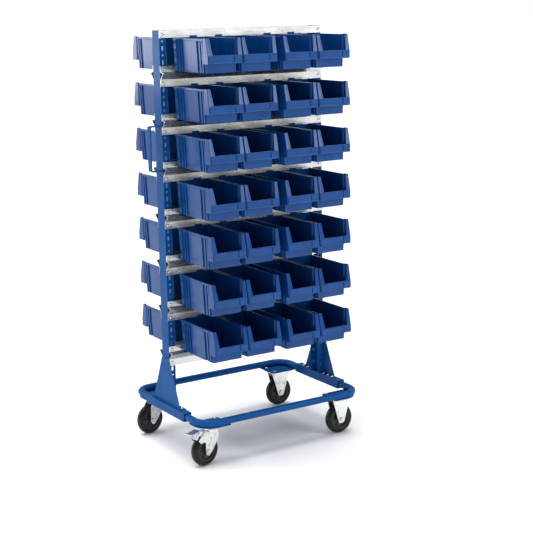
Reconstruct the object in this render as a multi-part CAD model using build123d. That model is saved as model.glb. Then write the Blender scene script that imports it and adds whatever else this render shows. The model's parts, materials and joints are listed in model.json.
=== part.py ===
from build123d import *
from math import cos, hypot, radians, sin
import os

# Mobile bin cart: a wheeled rack that carries open-front bins on both of its long sides.
# Sizes are in millimetres. +X runs along the rack, away from the push handle, -Y faces the
# first set of bins and +Z is up. Every piece is drawn round the middle of the rack, and the
# whole cart is then moved along X so that the origin is under the middle of its full length.

# Rack and rows
rack_height = 1680.0
rail_length = 750.0
row_count = 7
row_pitch = 185.0
side_signs = (-1, 1)

# Uprights: open channels, web outwards, perforated flanges
upright_depth = 57.0
upright_flange = 27.0
upright_wall = 2.5
hole_d = 8.5
slot_length = 18.0
holes_per_row = 7
hole_edge = 12.0

# Bin rails: strip, beak with a shelf on top, upper flange
rail_wall = 1.5
strip_height = 28.0
beak_out = 23.5
beak_under = 23.0
shelf_drop = 5.5
rail_flange = 22.5
foot_slot_height = 9.0
foot_slot_lift = 1.2

# Rail screws
screw_d = 6.0
screw_head_d = 12.5
screw_head_h = 3.2
screw_nut_d = 11.0
screw_nut_h = 4.5

# Bins
bin_gap = 4.0
bin_pair_pitch = 154.0
bin_middle_pitch = 186.0
bin_wall = 2.5
bin_length = 273.0
bin_back_gap = 0.3
bin_seat_gap = 0.1
bin_head_gap = 1.0
bin_top_width = 140.0
bin_foot_width = 128.0
bin_rim_height = 8.0
bin_rim_out = 2.5
bin_lip_height = 66.0
bin_nose_lift = 34.0
bin_nose_out = 33.0
bin_nose_slope = 14.0
bin_ear_depth = 38.0
bin_ear_rise = 2.0
bin_ear_top = 14.0
bin_ear_foot = 21.0
bin_land_out = 2.5
bin_land_starts = (9.0, 46.0, 86.0, 206.0, 221.0)
bin_land_widths = (21.0, 8.0, 102.0, 7.0, 9.0)
hook_width = 30.0
hook_height = 8.0
hook_wall = 3.0
hook_shift = 20.0
heel_width = 60.0
heel_depth = 9.0
heel_height = 6.0
heel_gap = 0.3

# Base tubes, corner plates and side sleeves
tube_d = 28.0
tube_wall = 2.0
base_length = 744.0
base_depth = 568.0
tube_bend = 65.0
tube_end = 115.0
weld_gap = 0.1
plate_wall = 5.0
plate_inner_x = 252.0
plate_inner_y = 186.0
plate_corner = 10.0
plate_margin = 6.0
sleeve_wall = 2.8
sleeve_fit = 0.2
sleeve_length = 320.0

# Foot brackets and their bolts
foot_wall = 3.0
foot_height = 189.0
foot_width = 220.0
foot_flange_length = 236.0
bolt_d = 8.0
bolt_head_d = 14.0
bolt_head_h = 5.0
bolt_nut_d = 13.0
bolt_nut_h = 6.5
bolt_hole_d = 8.6
foot_bolt_places = (45.0, 75.0, 105.0)
foot_bolt_inset = 10.5

# Push handle: one bent strap
handle_height = 178.0
handle_drop = 362.0
handle_top = rack_height - handle_drop
handle_out = 51.0
handle_width = 25.0
handle_wall = 4.0
handle_bend = 7.0

# Castors
castor_x = 308.0
castor_y = 230.0
castor_height = 160.0
castor_trail = 36.0
castor_turn = 12.0
castor_plate_x = 105.0
castor_plate_y = 85.0
castor_plate_wall = 4.0
castor_plate_corner = 8.0
castor_bolt_x = 80.0
castor_bolt_y = 66.0
wheel_d = 125.0
tyre_width = 35.0
tyre_shoulder = 10.5
tyre_root_width = 31.0
hub_d = 84.0
hub_web = 12.0
hub_boss_d = 28.0
hub_width = 40.0
hub_flange = 5.0
axle_d = 12.0
axle_head_d = 19.0
axle_head_h = 7.0
running_gap = 0.06
pin_gap = 0.1
leg_gap = 0.5
fork_wall = 3.0
fork_bridge_z = 134.5
crown_d = 70.0
crown_chamfer = 4.0
race_d = 64.0
race_height = 4.5
race_gap = 0.4
kingpin_d = 12.0
kingpin_head_d = 20.0
kingpin_head_h = 3.2

# Brake pedal on the front castor next to the handle
brake_pin_d = 8.0
brake_pin_x = -56.0
brake_pin_z = 130.0
brake_pin_head_d = 12.0
brake_pin_head_h = 2.5
pedal_width = 34.0
pedal_wall = 3.0
pedal_side_gap = 1.0

# Places worked out from the sizes above
half_rail = rail_length / 2
half_upright = upright_depth / 2
hole_pitch = row_pitch / holes_per_row
shelf_root = strip_height + beak_under + shelf_drop
rail_rise = shelf_root + rail_flange
rail_face = half_upright + rail_wall
strip_screw_z = strip_height / 2
flange_screw_z = strip_screw_z + 2 * hole_pitch
screw_x = half_rail - upright_flange / 2
top_strip_z = rack_height - strip_height
rail_line = half_upright + rail_wall / 2
bin_back = rail_face + bin_back_gap
shelf_slope = shelf_drop / beak_out
shelf_skin = rail_wall / 2 * hypot(beak_out, shelf_drop) / beak_out
bin_seat = shelf_root + shelf_skin - shelf_slope * (bin_back - rail_line) + bin_seat_gap
bin_height = row_pitch - bin_seat - bin_head_gap
bin_width = bin_pair_pitch - bin_gap
base_x = base_length / 2
base_y = base_depth / 2
plate_top = castor_height + plate_wall
tube_z = plate_top + weld_gap + tube_d / 2
sleeve_bore = tube_d + 2 * sleeve_fit
sleeve_size = sleeve_bore + 2 * sleeve_wall
sleeve_top = tube_z + sleeve_size / 2
foot_top = sleeve_top + foot_wall
foot_inner_x = base_x - sleeve_size / 2
wheel_r = wheel_d / 2
leg_in = hub_width / 2 + leg_gap
leg_out = leg_in + fork_wall
castor_plate_z = castor_height - castor_plate_wall


def row_base(level):
    """Height of a rail's lower edge: level 0 is the plain top strip."""
    return top_strip_z - level * row_pitch


def prism_xz(points, y_start, depth):
    """Outline in X and Z, drawn out from y_start towards -Y."""
    face = Plane.XZ * Polygon(*points, align=None)
    return Pos(0, y_start, 0) * extrude(face, amount=depth, dir=(0, -1, 0))


def prism_yz(points, x_start, width):
    """Outline in Y and Z, drawn out from x_start towards +X."""
    face = Plane.YZ * Polygon(*points, align=None)
    return Pos(x_start, 0, 0) * extrude(face, amount=width, dir=(1, 0, 0))


def block(x_range, y_range, z_range):
    """Box between two values on each axis."""
    spans = [max(r) - min(r) for r in (x_range, y_range, z_range)]
    middles = [sum(r) / 2 for r in (x_range, y_range, z_range)]
    return Pos(*middles) * Box(*spans)


def rod_x(diameter, x_range, y, z):
    """Round bar along X."""
    length = max(x_range) - min(x_range)
    return Pos(sum(x_range) / 2, y, z) * Rot(0, 90, 0) * Cylinder(diameter / 2, length)


def rod_y(diameter, y_range, x, z):
    """Round bar along Y."""
    length = max(y_range) - min(y_range)
    return Pos(x, sum(y_range) / 2, z) * Rot(90, 0, 0) * Cylinder(diameter / 2, length)


def rod_z(diameter, z_range, x, y):
    """Round bar along Z."""
    length = max(z_range) - min(z_range)
    return Pos(x, y, sum(z_range) / 2) * Cylinder(diameter / 2, length)


def nut_z(diameter, z_range, x, y):
    """Six-sided nut or head along Z."""
    return Pos(x, y, min(z_range)) * extrude(RegularPolygon(diameter / 2, 6), max(z_range) - min(z_range))


def nut_y(diameter, y_range, x, z):
    """Six-sided nut or head along Y."""
    face = Plane.XZ * RegularPolygon(diameter / 2, 6)
    return Pos(x, max(y_range), z) * extrude(face, max(y_range) - min(y_range))


def nut_x(diameter, x_range, y, z):
    """Six-sided nut or head along X."""
    face = Plane.YZ * RegularPolygon(diameter / 2, 6)
    return Pos(min(x_range), y, z) * extrude(face, max(x_range) - min(x_range))


def turned(shape):
    """The same piece on the other long side of the rack."""
    return Rot(0, 0, 180) * shape


def mirrored_x(shape):
    """The same piece on the other short side of the rack."""
    return mirror(shape, about=Plane.YZ)


def joined(pieces):
    """Several solids as one shape, each still a separate solid."""
    return Compound([s for p in pieces for s in p.solids()])


def upright_left():
    """Channel with its web to the left and a row of round holes and slots in each flange."""
    x_out = -half_rail
    x_in = x_out + upright_flange
    outer = block((x_out, x_in), (-half_upright, half_upright), (foot_top, rack_height))
    inner_y = half_upright - upright_wall
    inner = block((x_out + upright_wall, x_in), (-inner_y, inner_y), (foot_top, rack_height))
    channel = outer - inner
    cuts = []
    lowest = row_base(row_count) + strip_screw_z
    first = -int((lowest - foot_top - hole_edge - slot_length / 2) / hole_pitch)
    last = round((row_base(0) + strip_screw_z - lowest) / hole_pitch)
    for n in range(first, last + 1):
        z = lowest + n * hole_pitch
        cuts.append(rod_y(hole_d, (-upright_depth, upright_depth), -screw_x, z))
        if n % 2:
            half = (slot_length - hole_d) / 2
            cuts.append(rod_y(hole_d, (-upright_depth, upright_depth), -screw_x, z + half))
            cuts.append(rod_y(hole_d, (-upright_depth, upright_depth), -screw_x, z - half))
            side = hole_d / 2
            cuts.append(block((-screw_x - side, -screw_x + side), (-upright_depth, upright_depth),
                              (z - half, z + half)))
    return channel - cuts


def bin_rail():
    """One bin rail on the front face, its lower edge at height zero."""
    line_y = -rail_line
    tip_y = line_y - beak_out
    path = Polyline(
        (line_y, 0),
        (line_y, strip_height),
        (tip_y, strip_height + beak_under),
        (line_y, shelf_root),
        (line_y, rail_rise),
    )
    rail = Pos(-half_rail, 0, 0) * extrude(Plane.YZ * trace(path, rail_wall), amount=rail_length)
    cuts = []
    for side in side_signs:
        for z in (strip_screw_z, flange_screw_z):
            cuts.append(rod_y(screw_d + 2 * sleeve_fit, (-rail_face - rail_wall, -half_upright + rail_wall),
                              side * screw_x, z))
    for x, _ in bin_places():
        half = heel_width / 2 + bin_wall
        slot_z = shelf_root + foot_slot_lift
        cuts.append(block((x - half, x + half), (-rail_face - rail_wall, -half_upright + rail_wall),
                          (slot_z, slot_z + foot_slot_height)))
    return rail - cuts


def top_strip():
    """Flat strip along the top of the front face, its lower edge at height zero."""
    strip = block((-half_rail, half_rail), (-rail_face, -half_upright), (0, strip_height))
    holes = [rod_y(screw_d + 2 * sleeve_fit, (-rail_face - rail_wall, -half_upright + rail_wall),
                   side * screw_x, strip_screw_z) for side in side_signs]
    return strip - holes


def rail_screw(x, z):
    """Screw with its nut, through a rail and an upright flange on the front face."""
    flange_in = half_upright - upright_wall
    head = rod_y(screw_head_d, (-rail_face - screw_head_h, -rail_face), x, z)
    shank = rod_y(screw_d, (-rail_face, -flange_in), x, z)
    nut = nut_y(screw_nut_d, (-flange_in, -flange_in + screw_nut_h), x, z)
    return head + shank + nut


def rail_screws():
    """Every rail screw of the front face."""
    screws = []
    for level in range(row_count + 1):
        heights = (strip_screw_z,) if level == 0 else (strip_screw_z, flange_screw_z)
        for z in heights:
            for side in side_signs:
                screws.append(rail_screw(side * screw_x, row_base(level) + z))
    return screws


def bin_places():
    """Centre of each bin of a row, and the direction of its neighbour in the pair."""
    inner = bin_middle_pitch / 2
    outer = inner + bin_pair_pitch
    return [(-outer, 1), (-inner, -1), (inner, 1), (outer, -1)]


def bin_section(extra, z_low, z_high):
    """Outline across a bin: narrower at the foot, with its sides moved out by extra."""
    slope = (bin_top_width - bin_foot_width) / 2 / bin_height
    low = bin_foot_width / 2 + slope * z_low + extra
    high = bin_foot_width / 2 + slope * z_high + extra
    return [(-low, z_low), (low, z_low), (high, z_high), (-high, z_high)]


def bin_shell():
    """Outside of a bin: body, rim, raised lands and the nose with its two broad ears."""
    body_front = bin_length - bin_nose_out
    ear_back = bin_length - bin_ear_depth
    rim_z = bin_height - bin_rim_height
    shell = prism_xz(bin_section(0, 0, bin_height), 0, body_front)
    shell += prism_xz(bin_section(0, bin_nose_lift, bin_height), 0, ear_back)
    shell += prism_xz(bin_section(bin_rim_out, rim_z, bin_height), 0, ear_back)
    for start, width in zip(bin_land_starts, bin_land_widths):
        shell += prism_xz(bin_section(bin_land_out, 0, rim_z), -start, width)
    ear_z = bin_height + bin_ear_rise
    nose = [(-ear_back, bin_nose_lift), (-bin_length, bin_nose_lift),
            (bin_nose_slope - bin_length, ear_z), (-ear_back, ear_z)]
    return shell + prism_yz(nose, -bin_width / 2, bin_width)


def bin_hollow():
    """Inside of a bin, open at the top and through the mouth at the front."""
    body_front = bin_length - bin_nose_out
    ear_back = bin_length - bin_ear_depth
    over = bin_height + 2 * bin_ear_rise
    nose_floor = bin_nose_lift + bin_wall
    hollow = prism_xz(bin_section(-bin_wall, bin_wall, over), -bin_wall, body_front - 2 * bin_wall)
    hollow += prism_xz(bin_section(-bin_wall, nose_floor, over), -bin_wall, ear_back)
    ear_in = -ear_back - bin_wall
    front_in = bin_wall - bin_length
    ear_roof = bin_height + bin_ear_rise - bin_wall
    lean = bin_nose_slope * (ear_roof - nose_floor) / (bin_height + bin_ear_rise - bin_nose_lift)
    pocket = [(ear_in, nose_floor), (front_in, nose_floor), (front_in + lean, ear_roof), (ear_in, ear_roof)]
    hollow += prism_yz(pocket, bin_wall - bin_width / 2, bin_width - 2 * bin_wall)
    mouth_foot = bin_width / 2 - bin_ear_foot
    mouth_top = bin_width / 2 - bin_ear_top
    mouth = [(-mouth_foot, bin_lip_height), (mouth_foot, bin_lip_height),
             (mouth_top, over), (-mouth_top, over)]
    return hollow + prism_xz(mouth, -ear_back, bin_ear_depth)


def one_bin(toward):
    """One bin, its back at Y zero and its foot at height zero; its hook sits off centre."""
    body = bin_shell() - bin_hollow()
    hook_x = toward * hook_shift
    hook_span = (hook_x - hook_width / 2, hook_x + hook_width / 2)
    hook = block(hook_span, (-hook_wall, 0), (bin_height - bin_rim_height, bin_height + hook_height))
    heel_low = shelf_root + foot_slot_lift + heel_gap - bin_seat
    heel = block((-heel_width / 2, heel_width / 2), (-bin_wall, heel_depth),
                 (heel_low, heel_low + heel_height))
    return body + hook + heel


def bin_row(level):
    """The four bins that stand on one rail of the front face."""
    z = row_base(level) + bin_seat
    shapes = {toward: one_bin(toward) for toward in (1, -1)}
    return [Pos(x, -bin_back, z) * shapes[toward] for x, toward in bin_places()]


def base_tube():
    """Front tube of the base, bent back at both ends."""
    points = [(-base_x, -tube_end), (-base_x, -base_y), (base_x, -base_y), (base_x, -tube_end)]
    path = Pos(0, 0, tube_z) * FilletPolyline(*points, radius=tube_bend)
    start = Plane(origin=(-base_x, -tube_end, tube_z), z_dir=(0, -1, 0))
    outer = sweep(start * Circle(tube_d / 2), path=path)
    return outer - sweep(start * Circle(tube_d / 2 - tube_wall), path=path)


def corner_plate():
    """Plate under the front right corner of the base, drilled for its castor."""
    x_out = base_x + tube_d / 2 - plate_margin
    y_out = base_y + tube_d / 2 - plate_margin
    size_x = x_out - plate_inner_x
    size_y = y_out - plate_inner_y
    sheet = Pos(plate_inner_x + size_x / 2, -plate_inner_y - size_y / 2) * Rectangle(size_x, size_y)
    by_x = sheet.vertices().sort_by(Axis.X)
    outer = by_x[-2:].sort_by(Axis.Y)[0]
    sheet = fillet(outer, tube_bend + tube_d / 2 - plate_margin)
    inner = sheet.vertices().sort_by(Axis.X)[:2].sort_by(Axis.Y)[-1]
    sheet = fillet(inner, plate_corner)
    plate = Pos(0, 0, castor_height) * extrude(sheet, plate_wall)
    return plate - castor_holes(castor_x, -castor_y, castor_height, plate_top)


def castor_holes(x, y, z_low, z_high):
    """The four bolt holes of a castor, through everything between two heights."""
    return [rod_z(bolt_hole_d, (z_low - weld_gap, z_high + weld_gap),
                  x + sx * castor_bolt_x / 2, y + sy * castor_bolt_y / 2)
            for sx in side_signs for sy in side_signs]


def side_sleeve():
    """Square sleeve on the left side that joins the two base tubes and carries the foot."""
    half = sleeve_length / 2
    sleeve = block((-base_x - sleeve_size / 2, -base_x + sleeve_size / 2), (-half, half),
                   (tube_z - sleeve_size / 2, sleeve_top))
    bore = sleeve_bore / 2
    sleeve -= block((-base_x - bore, -base_x + bore), (-sleeve_length, sleeve_length),
                    (tube_z - bore, tube_z + bore))
    return sleeve - foot_bolt_holes()


def foot_bolt_x():
    """Distance of the foot bolts from the middle of the rack."""
    return foot_inner_x + foot_bolt_inset


def foot_bolt_holes():
    """Holes for the left foot's bolts, through its flange and the top of the sleeve."""
    return [rod_z(bolt_hole_d, (tube_z, foot_top + foot_wall), -foot_bolt_x(), sy * place)
            for sy in side_signs for place in foot_bolt_places]


def foot_bracket():
    """Left foot: a tapered plate outside the upright, with a flange on the sleeve."""
    plate_x = -half_rail - foot_wall
    half = foot_width / 2
    web = [(-half, sleeve_top), (half, sleeve_top), (half_upright, sleeve_top + foot_height),
           (-half_upright, sleeve_top + foot_height)]
    foot = prism_yz(web, plate_x, foot_wall)
    flange_half = foot_flange_length / 2
    foot += block((plate_x, -foot_inner_x), (-flange_half, flange_half), (sleeve_top, foot_top))
    return foot - foot_bolt_holes()


def foot_bolts():
    """Bolts of the left foot: six down into the sleeve."""
    bolts = []
    for hole in foot_bolt_places:
        for sy in side_signs:
            y = sy * hole
            under = sleeve_top - sleeve_wall
            head = rod_z(bolt_head_d, (foot_top, foot_top + bolt_head_h), -foot_bolt_x(), y)
            shank = rod_z(bolt_d, (under, foot_top), -foot_bolt_x(), y)
            nut = nut_z(bolt_nut_d, (under - bolt_nut_h, under), -foot_bolt_x(), y)
            bolts.append(head + shank + nut)
    return bolts


def push_handle():
    """Bent strap on the outside of the left upright, near its front edge."""
    mid = handle_wall / 2
    top = handle_top - mid
    low = handle_top - handle_height + mid
    out = -half_rail - handle_out + mid
    path = FilletPolyline((-half_rail, top), (out, top), (out, low), (-half_rail, low), radius=handle_bend)
    strap = extrude(Plane.XZ * trace(path, handle_wall), amount=handle_width)
    return Pos(0, handle_width - half_upright, 0) * strap


def castor_bolts(sx, sy):
    """Bolts of one castor: two with nuts on the inner side, two short screws from below."""
    bolts = []
    for ky in side_signs:
        y = sy * castor_y + ky * castor_bolt_y / 2
        x = sx * (castor_x - castor_bolt_x / 2)
        head = rod_z(bolt_head_d, (plate_top, plate_top + bolt_head_h), x, y)
        shank = rod_z(bolt_d, (castor_plate_z, plate_top), x, y)
        nut = nut_z(bolt_nut_d, (castor_plate_z - bolt_nut_h, castor_plate_z), x, y)
        bolts.append(head + shank + nut)
        x = sx * (castor_x + castor_bolt_x / 2)
        head = rod_z(bolt_head_d, (castor_plate_z - bolt_head_h, castor_plate_z), x, y)
        bolts.append(head + rod_z(bolt_d, (castor_plate_z, plate_top - weld_gap), x, y))
    return bolts


def castor_plate():
    """Top plate of a castor with its four holes, centred on the castor."""
    sheet = RectangleRounded(castor_plate_x, castor_plate_y, castor_plate_corner)
    plate = Pos(0, 0, castor_plate_z) * extrude(sheet, castor_plate_wall)
    return plate - castor_holes(0, 0, castor_plate_z, castor_height)


def swivel_plate():
    """Top plate of a swivel castor with its upper ball race."""
    race = rod_z(race_d, (castor_plate_z - race_height, castor_plate_z), 0, 0)
    bore = rod_z(kingpin_d + 2 * pin_gap, (castor_plate_z - castor_height, castor_height + fork_wall), 0, 0)
    return castor_plate() + race - bore


def kingpin():
    """Kingpin of a swivel castor, its lower head under the fork's bridge."""
    head_top = fork_bridge_z - race_gap
    head = rod_z(kingpin_head_d, (head_top - kingpin_head_h, head_top), 0, 0)
    return head + rod_z(kingpin_d, (head_top, castor_height - weld_gap), 0, 0)


def swivel_fork(braked):
    """Fork of a swivel castor: crown, bridge and two legs that trail towards -X."""
    crown_top = castor_plate_z - race_height - race_gap
    bridge_top = fork_bridge_z + fork_wall
    crown = rod_z(crown_d, (bridge_top, crown_top), 0, 0)
    crown = chamfer(crown.edges().sort_by(Axis.Z)[-1], crown_chamfer)
    bridge = block((-crown_d * bridge_share, crown_d * bridge_share), (-leg_out, leg_out),
                   (fork_bridge_z, bridge_top))
    fork = crown + bridge
    for side in side_signs:
        start = leg_out if side > 0 else -leg_in
        fork += prism_xz(fork_leg_outline(braked), start, fork_wall)
    fork -= rod_z(kingpin_d + 2 * running_gap, (0, castor_height), 0, 0)
    fork -= rod_y(axle_d + 2 * pin_gap, (-castor_plate_y, castor_plate_y), -castor_trail, wheel_r)
    if braked:
        fork -= rod_y(brake_pin_d + 2 * pin_gap, (-castor_plate_y, castor_plate_y), brake_pin_x, brake_pin_z)
    return fork


# Share of the crown's diameter that the fork's bridge reaches each way along X
bridge_share = 0.3

# Fork leg, as shares of the castor's trail along X and of its height along Z
leg_front_share = 0.56
leg_back_share = -0.83
leg_shares = ((0.56, 0.66), (-0.56, 0.32), (-0.86, 0.27), (-1.12, 0.27), (-1.33, 0.35), (-1.33, 0.65))
leg_arm_shares = ((-2.06, 0.625), (-2.33, 0.71), (-1.6, 0.89))
leg_plain_shares = ((-1.25, 0.78),)


def fork_leg_outline(braked):
    """Outline of a fork leg; the braked one has an arm that carries the pedal."""
    shares = leg_shares + (leg_arm_shares if braked else leg_plain_shares)
    points = [(sx * castor_trail, sz * castor_height) for sx, sz in shares]
    top = fork_bridge_z + fork_wall
    return [(leg_front_share * castor_trail, top)] + points + [(leg_back_share * castor_trail, top)]


# Fixed bracket leg, as shares of the top plate's length along X and of the height along Z
fixed_top_share = 0.44
fixed_leg_shares = ((-0.4, 0.925), (-0.16, 0.37), (-0.1, 0.29), (0.1, 0.29), (0.16, 0.37), (0.4, 0.925))


def fixed_bracket():
    """Bracket of a fixed castor: top plate and two wedge-shaped legs."""
    top_x = fixed_top_share * castor_plate_x
    outline = [(sx * castor_plate_x, sz * castor_height) for sx, sz in fixed_leg_shares]
    outline = [(-top_x, castor_plate_z)] + outline + [(top_x, castor_plate_z)]
    bracket = castor_plate()
    for side in side_signs:
        start = leg_out if side > 0 else -leg_in
        bracket += prism_xz(outline, start, fork_wall)
    return bracket - rod_y(axle_d + 2 * pin_gap, (-castor_plate_y, castor_plate_y), 0, wheel_r)


def axle(x):
    """Wheel axle: a bolt with a six-sided head and a nut outside the legs."""
    head = nut_y(axle_head_d, (-leg_out - axle_head_h, -leg_out), x, wheel_r)
    shank = rod_y(axle_d, (-leg_out, leg_out), x, wheel_r)
    nut = nut_y(axle_head_d, (leg_out, leg_out + axle_head_h), x, wheel_r)
    return head + shank + nut


def tyre(x):
    """Rubber tyre with a rounded tread."""
    root = tyre_root_width / 2
    edge = tyre_width / 2
    shoulder = wheel_r - tyre_shoulder
    hub_r = hub_d / 2
    line = Polyline((shoulder, edge), (hub_r, root), (hub_r, -root), (shoulder, -edge))
    arc = ThreePointArc((shoulder, -edge), (wheel_r, 0), (shoulder, edge))
    ring = revolve(make_face(Curve() + [line, arc]), Axis.Y)
    return Pos(x, 0, wheel_r) * ring


def wheel_hub(x):
    """Wheel centre: rim flange, thin web and a boss that runs on the axle."""
    rim = tyre_root_width / 2
    web = hub_web / 2
    boss = hub_width / 2
    hub_r = hub_d / 2
    rim_r = hub_r - hub_flange
    boss_r = hub_boss_d / 2
    bore_r = axle_d / 2 + running_gap
    outline = [(bore_r, boss), (boss_r, boss), (boss_r, web), (rim_r, web), (rim_r, rim), (hub_r, rim),
               (hub_r, -rim), (rim_r, -rim), (rim_r, -web), (boss_r, -web), (boss_r, -boss), (bore_r, -boss)]
    return Pos(x, 0, wheel_r) * revolve(Polygon(*outline, align=None), Axis.Y)


def brake_pin():
    """Rivet that the brake pedal turns on."""
    shank = rod_y(brake_pin_d, (-leg_out, leg_out), brake_pin_x, brake_pin_z)
    for side in side_signs:
        span = (side * leg_out, side * (leg_out + brake_pin_head_h))
        shank += rod_y(brake_pin_head_d, span, brake_pin_x, brake_pin_z)
    return shank


# Pedal plate and cheeks, as shares of the castor's trail along X and of its height along Z
pedal_top_shares = ((-3.55, 0.931), (-2.95, 0.906), (-2.0, 0.95), (-1.5, 0.894))
cheek_shares = ((-2.0, 0.94), (-1.5, 0.885), (-1.3, 0.81), (-1.45, 0.765), (-1.75, 0.775), (-2.3, 0.865))
shoe_shares = ((-2.3, 0.865), (-2.0, 0.94), (-1.9, 0.93), (-2.16, 0.75), (-2.4, 0.72), (-2.5, 0.745))


def brake_pedal():
    """Pedal: a bent plate with two cheeks on the rivet and a shoe over the tyre."""
    top = [(sx * castor_trail, sz * castor_height) for sx, sz in pedal_top_shares]
    under = [(x, z - pedal_wall) for x, z in reversed(top)]
    pedal = prism_xz(top + under, pedal_width / 2, pedal_width)
    cheek = [(sx * castor_trail, sz * castor_height) for sx, sz in cheek_shares]
    cheek_out = leg_in - pedal_side_gap
    for start in (cheek_out, pedal_wall - cheek_out):
        pedal += prism_xz(cheek, start, pedal_wall)
    shoe = [(sx * castor_trail, sz * castor_height) for sx, sz in shoe_shares]
    pedal += prism_xz(shoe, cheek_out, 2 * cheek_out)
    return pedal - rod_y(brake_pin_d + 2 * running_gap, (-leg_out, leg_out), brake_pin_x, brake_pin_z)


def put(shape, sx, sy, turn=0.0):
    """Place a castor piece, built round the castor's own axis, at a corner of the base."""
    return Pos(sx * castor_x, sy * castor_y, 0) * Rot(0, 0, turn) * shape


def frame_nodes():
    """Base, feet, uprights, handle, rails and fasteners."""
    left_bolts = foot_bolts()
    rail = bin_rail()
    strip = top_strip()
    screws = rail_screws()
    plate = corner_plate()
    all_castor_bolts = [b for sx in side_signs for sy in side_signs for b in castor_bolts(sx, sy)]
    nodes = {
        "base_tube_front": base_tube(),
        "base_tube_rear": turned(base_tube()),
        "corner_plates_front": joined([plate, mirrored_x(plate)]),
        "corner_plates_rear": joined([turned(plate), turned(mirrored_x(plate))]),
        "side_sleeve_left": side_sleeve(),
        "side_sleeve_right": mirrored_x(side_sleeve()),
        "foot_bracket_left": foot_bracket(),
        "foot_bracket_right": mirrored_x(foot_bracket()),
        "foot_bolts": joined(left_bolts + [mirrored_x(b) for b in left_bolts]),
        "upright_left": upright_left(),
        "upright_right": mirrored_x(upright_left()),
        "push_handle": push_handle(),
        "top_strips": joined([Pos(0, 0, row_base(0)) * s for s in (strip, turned(strip))]),
        "rail_screws": joined(screws + [turned(s) for s in screws]),
        "castor_bolts": joined(all_castor_bolts),
    }
    for level in range(1, row_count + 1):
        pair = [Pos(0, 0, row_base(level)) * r for r in (rail, turned(rail))]
        nodes[f"bin_rails_{level}"] = joined(pair)
    return nodes


def bin_nodes():
    """One node per row and side, with a separate solid for each bin."""
    nodes = {}
    for level in range(1, row_count + 1):
        row = bin_row(level)
        nodes[f"bins_front_{level}"] = joined(row)
        nodes[f"bins_rear_{level}"] = joined([turned(b) for b in row])
    return nodes


def castor_nodes():
    """Two swivel castors under the handle end and two fixed ones under the other end."""
    nodes = {}
    for name, sy in (("front", -1), ("rear", 1)):
        braked = sy < 0
        swivel = f"{name}_left"
        nodes[f"swivel_plate_{swivel}"] = put(swivel_plate(), -1, sy)
        nodes[f"kingpin_{swivel}"] = put(kingpin(), -1, sy)
        nodes[f"swivel_fork_{swivel}"] = put(swivel_fork(braked), -1, sy, castor_turn)
        fixed = f"{name}_right"
        nodes[f"fixed_bracket_{fixed}"] = put(fixed_bracket(), 1, sy)
        for place, sx, x, turn in ((swivel, -1, -castor_trail, castor_turn), (fixed, 1, 0, 0)):
            nodes[f"axle_{place}"] = put(axle(x), sx, sy, turn)
            nodes[f"wheel_hub_{place}"] = put(wheel_hub(x), sx, sy, turn)
            nodes[f"tyre_{place}"] = put(tyre(x), sx, sy, turn)
    nodes["brake_pin"] = put(brake_pin(), -1, -1, castor_turn)
    nodes["brake_pedal"] = put(brake_pedal(), -1, -1, castor_turn)
    return nodes


turn = radians(castor_turn)
left_end = -castor_x + pedal_top_shares[0][0] * castor_trail * cos(turn) - pedal_width / 2 * sin(turn)
right_end = base_x + sleeve_size / 2
origin_shift = -(left_end + right_end) / 2

os.makedirs("parts", exist_ok=True)
for node_name, node_shape in {**frame_nodes(), **bin_nodes(), **castor_nodes()}.items():
    export_step(Pos(origin_shift, 0, 0) * node_shape, f"parts/{node_name}.step")
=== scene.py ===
"""Mobile bin cart: its looks, light and camera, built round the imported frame."""
import json
from math import cos, pi, radians, sin

import bmesh
import bpy
from mathutils import Matrix, Vector


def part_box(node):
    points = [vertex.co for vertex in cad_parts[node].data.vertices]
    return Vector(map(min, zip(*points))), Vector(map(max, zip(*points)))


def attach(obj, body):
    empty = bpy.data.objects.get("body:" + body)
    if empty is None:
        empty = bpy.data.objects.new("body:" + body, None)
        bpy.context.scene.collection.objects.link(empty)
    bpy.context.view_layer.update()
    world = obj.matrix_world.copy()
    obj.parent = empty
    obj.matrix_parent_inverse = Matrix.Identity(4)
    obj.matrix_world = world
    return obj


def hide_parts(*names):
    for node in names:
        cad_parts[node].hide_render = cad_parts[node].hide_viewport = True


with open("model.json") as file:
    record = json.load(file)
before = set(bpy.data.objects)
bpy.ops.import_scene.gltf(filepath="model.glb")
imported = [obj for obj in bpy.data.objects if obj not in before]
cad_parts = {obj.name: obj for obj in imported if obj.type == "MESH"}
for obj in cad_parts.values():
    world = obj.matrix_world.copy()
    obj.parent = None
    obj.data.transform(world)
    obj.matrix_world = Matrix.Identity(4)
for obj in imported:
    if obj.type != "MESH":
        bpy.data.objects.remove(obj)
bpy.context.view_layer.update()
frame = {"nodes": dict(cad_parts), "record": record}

nodes = frame["nodes"]
record = frame["record"]

# Sizes and places are in metres. +X runs along the rack, away from the push handle, -Y faces the
# front bins and +Z is up. A piece is drawn round its own middle and then moved into place.
MM = 0.001
CLOSE = 1e-6
SIDES = (("front", -1), ("rear", 1))

# The rack, measured from the rail of its middle row
ROW_COUNT = 7
MIDDLE_ROW = 4
ROW_PITCH = 185 * MM
HOLES_PER_ROW = 7
RAIL_FACE = 30 * MM
rail_low, rail_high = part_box(f"bin_rails_{MIDDLE_ROW}")
rack_middle = (rail_low.x + rail_high.x) / 2


# Materials

def new_finish(name):
    """A material with its node tree and its surface shader."""
    finish = bpy.data.materials.new(name)
    finish.use_nodes = True
    tree = finish.node_tree
    return finish, tree, tree.nodes["Principled BSDF"]


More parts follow.
